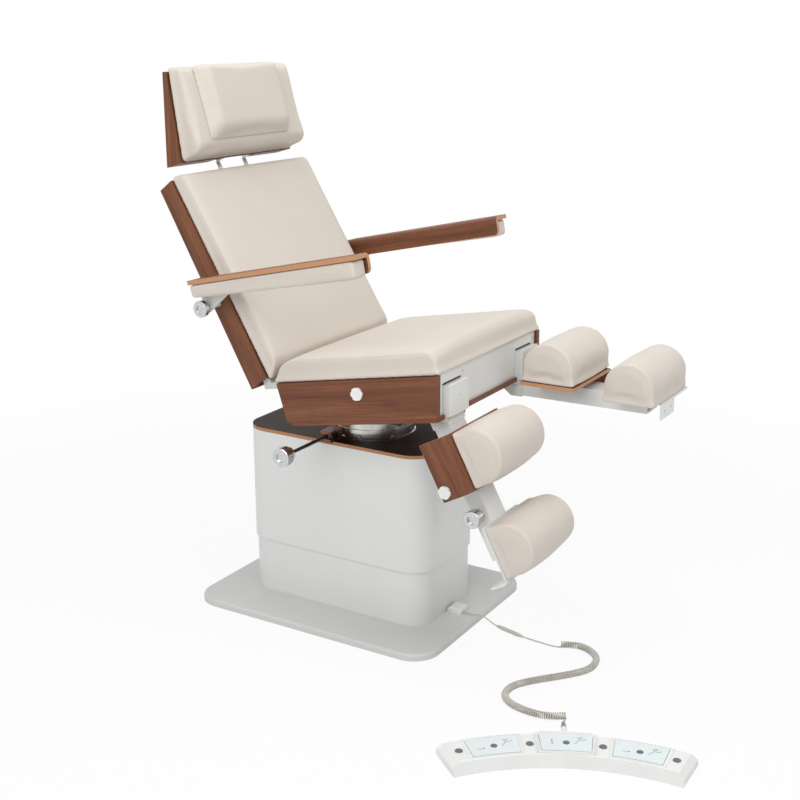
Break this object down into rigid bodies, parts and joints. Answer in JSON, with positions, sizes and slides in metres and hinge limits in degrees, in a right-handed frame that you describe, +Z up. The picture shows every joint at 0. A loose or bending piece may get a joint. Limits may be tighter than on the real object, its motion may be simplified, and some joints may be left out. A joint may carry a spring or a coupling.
{
  "type": "podiatry chair",
  "caption": "Electric podiatry chair on a lifting column, with swivelling tilting seat, reclining back, headrest, turning armrests, separate leg rests and a wired foot control.",
  "frame": {"origin": "on the floor under the column, on the swivel axis", "axes": "+Z up; the chair faces -Y; +X is the seated person's left"},
  "size_m": [1.1406, 1.6425, 1.5498],
  "materials": {
    "white_paint": "semi-gloss white paint",
    "base_paint": "pale grey powder coat",
    "walnut": "satin walnut veneer over ply",
    "dark_walnut": "dark satin walnut veneer",
    "upholstery": "matte cream leather-cloth",
    "steel": "brushed",
    "chrome": "polished",
    "frame_metal": "grey powder coat",
    "dark_metal": "dark ground finish",
    "copper": "copper-toned casting",
    "control_plastic": "white moulded",
    "button_rubber": "dark grey",
    "cord_grey": "light grey-beige",
    "relief_grey": "mid grey",
    "cap_plastic": "white"
  },
  "bodies": {
    "base": {"base_plate": "base_paint", "lower_shell": "white_paint", "gland_cover": "cap_plastic", "cord_straight": "cord_grey", "inline_connector": "cord_grey", "cord_curly": "cord_grey", "cord_relief": "relief_grey", "foot_control_housing": "control_plastic"},
    "lift": {"upper_shell": "white_paint", "column_top_panel": "dark_walnut", "lift_mast": "frame_metal", "turntable_ring": "dark_metal", "brake_bracket": "copper"},
    "brake": {"brake_rod": "dark_metal", "brake_knob": "chrome"},
    "turntable": {"turntable_disc": "steel", "tilt_bracket": "frame_metal"},
    "seat": {"seat_board_left": "walnut", "seat_board_right": "walnut", "seat_bottom_panel": "walnut", "seat_front_panel": "white_paint", "seat_frame": "frame_metal", "seat_cushion": "upholstery", "seat_screw_caps": "cap_plastic"},
    "back": {"back_shell": "walnut", "back_frame": "frame_metal", "back_cushion": "upholstery"},
    "headrest_stem": {"headrest_posts": "chrome"},
    "headrest": {"headrest_shell": "walnut", "headrest_cushion": "upholstery", "head_pillow": "upholstery"},
    "armrest_right": {"armrest_shell_right": "walnut", "armrest_pad_right": "upholstery", "arm_bracket_right": "white_paint"},
    "arm_knob_right": {"arm_knob_right": "chrome"},
    "leg_right": {"leg_arm_right": "white_paint", "leg_bar_right": "frame_metal"},
    "calf_right": {"calf_shell_right": "walnut", "calf_pad_right": "upholstery"},
    "foot_rest_right": {"foot_bracket_right": "frame_metal", "foot_pad_right": "upholstery"},
    "leg_knob_right": {"leg_knob_right": "chrome"},
    "armrest_left": {"armrest_shell_left": "walnut", "armrest_pad_left": "upholstery", "arm_bracket_left": "white_paint"},
    "arm_knob_left": {"arm_knob_left": "chrome"},
    "leg_left": {"leg_arm_left": "white_paint", "leg_bar_left": "frame_metal"},
    "calf_left": {"calf_shell_left": "walnut", "calf_pad_left": "upholstery"},
    "foot_rest_left": {"foot_bracket_left": "frame_metal", "foot_pad_left": "upholstery"},
    "leg_knob_left": {"leg_knob_left": "chrome"},
    "rocker_1": {"foot_rocker_1": "control_plastic"},
    "rocker_2": {"foot_rocker_2": "control_plastic"},
    "rocker_3": {"foot_rocker_3": "control_plastic"},
    "button_1": {"foot_button_1": "button_rubber"},
    "button_2": {"foot_button_2": "button_rubber"},
    "button_3": {"foot_button_3": "button_rubber"},
    "button_4": {"foot_button_4": "button_rubber"}
  },
  "joints": [
    {"name": "lift_slide", "type": "slide", "parent": "base", "child": "lift", "axis": [0, 0, 1], "range_m": [-0.15, 0.13]},
    {"name": "brake_turn", "type": "hinge", "parent": "lift", "child": "brake", "pos_m": [-0.16263, 0.045, 0.545], "axis": [0, 0, 1], "range_deg": [-16, 16]},
    {"name": "swivel", "type": "hinge", "parent": "lift", "child": "turntable", "pos_m": [0, 0, 0.548], "axis": [0, 0, 1], "range_deg": [-170, 170]},
    {"name": "seat_tilt", "type": "hinge", "parent": "turntable", "child": "seat", "pos_m": [0, -0.1, 0.612], "axis": [1, 0, 0], "range_deg": [-4, 10.3]},
    {"name": "back_recline", "type": "hinge", "parent": "seat", "child": "back", "pos_m": [0, 0.16639, 0.70873], "axis": [-1, 0, 0], "range_deg": [-3, 60]},
    {"name": "headrest_slide", "type": "slide", "parent": "back", "child": "headrest_stem", "axis": [0, 0.4879, 0.8729], "range_m": [0, 0.08]},
    {"name": "headrest_tilt", "type": "hinge", "parent": "headrest_stem", "child": "headrest", "pos_m": [0, 0.48607, 1.29016], "axis": [-1, 0, 0], "range_deg": [-20, 30]},
    {"name": "armrest_turn_right", "type": "hinge", "parent": "back", "child": "armrest_right", "pos_m": [-0.35, 0.31018, 0.91476], "axis": [-1, 0, 0], "range_deg": [-40, 105]},
    {"name": "arm_knob_turn_right", "type": "hinge", "parent": "armrest_right", "child": "arm_knob_right", "pos_m": [-0.366, 0.31018, 0.91476], "axis": [-1, 0, 0], "range_deg": [-180, 180]},
    {"name": "leg_turn_right", "type": "hinge", "parent": "seat", "child": "leg_right", "pos_m": [-0.208, -0.36867, 0.68278], "axis": [-1, 0, 0], "range_deg": [-15, 66.5]},
    {"name": "calf_slide_right", "type": "slide", "parent": "leg_right", "child": "calf_right", "axis": [0, -0.4695, -0.8829], "range_m": [-0.005, 0.04]},
    {"name": "foot_slide_right", "type": "slide", "parent": "leg_right", "child": "foot_rest_right", "axis": [0, -0.4695, -0.8829], "range_m": [-0.025, 0.06]},
    {"name": "leg_knob_turn_right", "type": "hinge", "parent": "leg_right", "child": "leg_knob_right", "pos_m": [-0.27, -0.47745, 0.44198], "axis": [-1, 0, 0], "range_deg": [-180, 180]},
    {"name": "armrest_turn_left", "type": "hinge", "parent": "back", "child": "armrest_left", "pos_m": [0.35, 0.31018, 0.91476], "axis": [-1, 0, 0], "range_deg": [-40, 105]},
    {"name": "arm_knob_turn_left", "type": "hinge", "parent": "armrest_left", "child": "arm_knob_left", "pos_m": [0.366, 0.31018, 0.91476], "axis": [1, 0, 0], "range_deg": [-180, 180]},
    {"name": "leg_turn_left", "type": "hinge", "parent": "seat", "child": "leg_left", "pos_m": [0.208, -0.36867, 0.68278], "axis": [-1, 0, 0], "range_deg": [-77.5, 4]},
    {"name": "calf_slide_left", "type": "slide", "parent": "leg_left", "child": "calf_left", "axis": [0, -1, 0.0087], "range_m": [-0.03, 0.015]},
    {"name": "foot_slide_left", "type": "slide", "parent": "leg_left", "child": "foot_rest_left", "axis": [0, -1, 0.0087], "range_m": [-0.025, 0.05]},
    {"name": "leg_knob_turn_left", "type": "hinge", "parent": "leg_left", "child": "leg_knob_left", "pos_m": [0.27, -0.65153, 0.66825], "axis": [1, 0, 0], "range_deg": [-180, 180]},
    {"name": "rocker_turn_1", "type": "hinge", "parent": "base", "child": "rocker_1", "pos_m": [-0.45713, -1.01261, 0.0283], "axis": [0.9799, 0.1994, 0], "range_deg": [-2, 2], "stiffness_Nm_per_rad": 6},
    {"name": "rocker_turn_2", "type": "hinge", "parent": "base", "child": "rocker_2", "pos_m": [-0.51271, -0.85119, 0.0313], "axis": [0.8949, 0.4462, 0], "range_deg": [-2, 2], "stiffness_Nm_per_rad": 6},
    {"name": "rocker_turn_3", "type": "hinge", "parent": "base", "child": "rocker_3", "pos_m": [-0.60818, -0.70965, 0.0283], "axis": [0.749, 0.6626, 0], "range_deg": [-2, 2], "stiffness_Nm_per_rad": 6},
    {"name": "button_press_1", "type": "slide", "parent": "base", "child": "button_1", "axis": [0, 0, 1], "range_m": [-0.002, 0], "stiffness_N_per_m": 800, "springref_m": 0.0005},
    {"name": "button_press_2", "type": "slide", "parent": "base", "child": "button_2", "axis": [0, 0, 1], "range_m": [-0.002, 0], "stiffness_N_per_m": 800, "springref_m": 0.0005},
    {"name": "button_press_3", "type": "slide", "parent": "base", "child": "button_3", "axis": [0, 0, 1], "range_m": [-0.002, 0], "stiffness_N_per_m": 800, "springref_m": 0.0005},
    {"name": "button_press_4", "type": "slide", "parent": "base", "child": "button_4", "axis": [0, 0, 1], "range_m": [-0.002, 0], "stiffness_N_per_m": 800, "springref_m": 0.0005}
  ]
}
